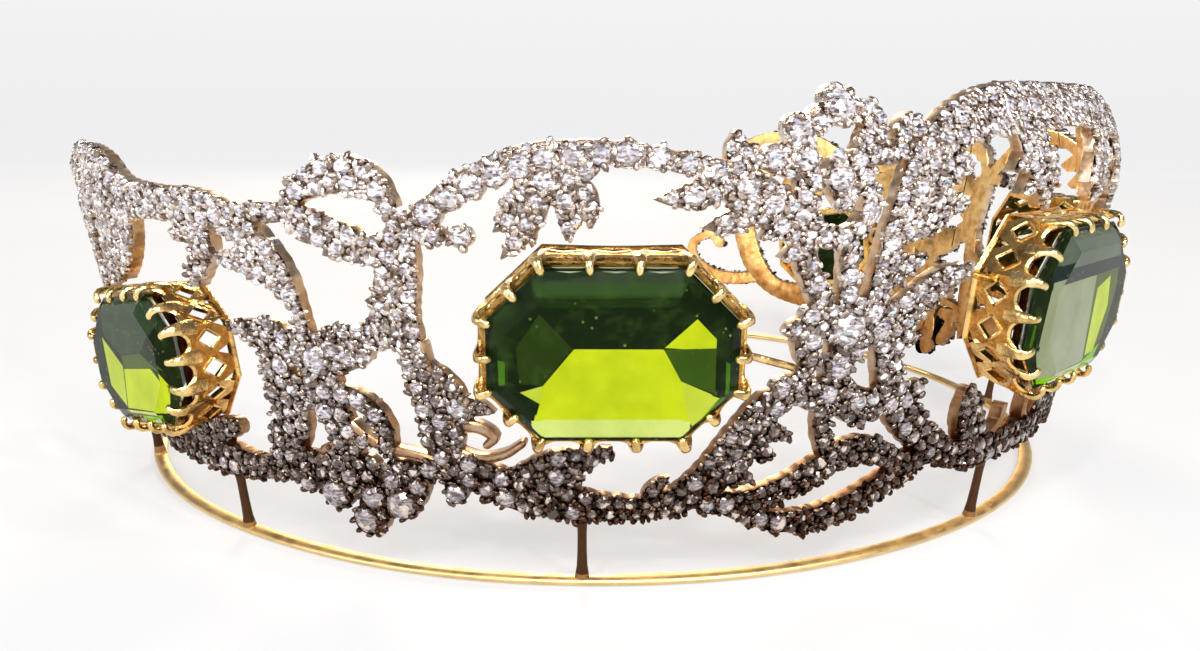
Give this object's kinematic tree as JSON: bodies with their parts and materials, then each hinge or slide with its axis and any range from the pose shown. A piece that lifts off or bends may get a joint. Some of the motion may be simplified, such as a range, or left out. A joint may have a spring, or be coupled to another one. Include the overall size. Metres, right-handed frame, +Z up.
{
  "type": "tiara",
  "caption": "Open-backed tiara: a pierced silver scroll and leaf band with large green stones in gold claw collets, on a flattened gold wire hoop.",
  "frame": {"origin": "on the ground, midway between the two sides and midway between front and back", "axes": "+Z up; the front faces -Y; +X is to the right as seen from behind the tiara, and X = 0 is its plane of symmetry"},
  "size_m": [0.1724, 0.1466, 0.059],
  "materials": {
    "silver": "satin, slightly tarnished silver",
    "gold": "satin yellow gold",
    "green_stone": "polished, step cut",
    "clear_stone": "polished, brilliant cut"
  },
  "bodies": {
    "root": {"base_hoop": "gold", "front_arch": "silver", "front_lower_scroll": "silver", "inner_spray_left": "silver", "inner_spray_right": "silver", "side_arch_left": "silver", "side_arch_right": "silver", "outer_spray_left": "silver", "outer_spray_right": "silver", "back_arch_left": "silver", "back_arch_right": "silver", "collet_front": "gold", "collet_side_left": "gold", "collet_side_right": "gold", "collet_back_left": "gold", "collet_back_right": "gold", "green_stone_front": "green_stone", "green_stone_side_left": "green_stone", "green_stone_side_right": "green_stone", "green_stone_back_left": "green_stone", "green_stone_back_right": "green_stone", "round_stone_1_left": "clear_stone", "round_stone_1_right": "clear_stone", "round_stone_2_left": "clear_stone", "round_stone_2_right": "clear_stone", "round_stone_3_left": "clear_stone", "round_stone_3_right": "clear_stone", "round_stone_4_left": "clear_stone", "round_stone_4_right": "clear_stone", "round_stone_5_left": "clear_stone", "round_stone_5_right": "clear_stone", "round_stone_6_left": "clear_stone", "round_stone_6_right": "clear_stone"}
  },
  "joints": []
}
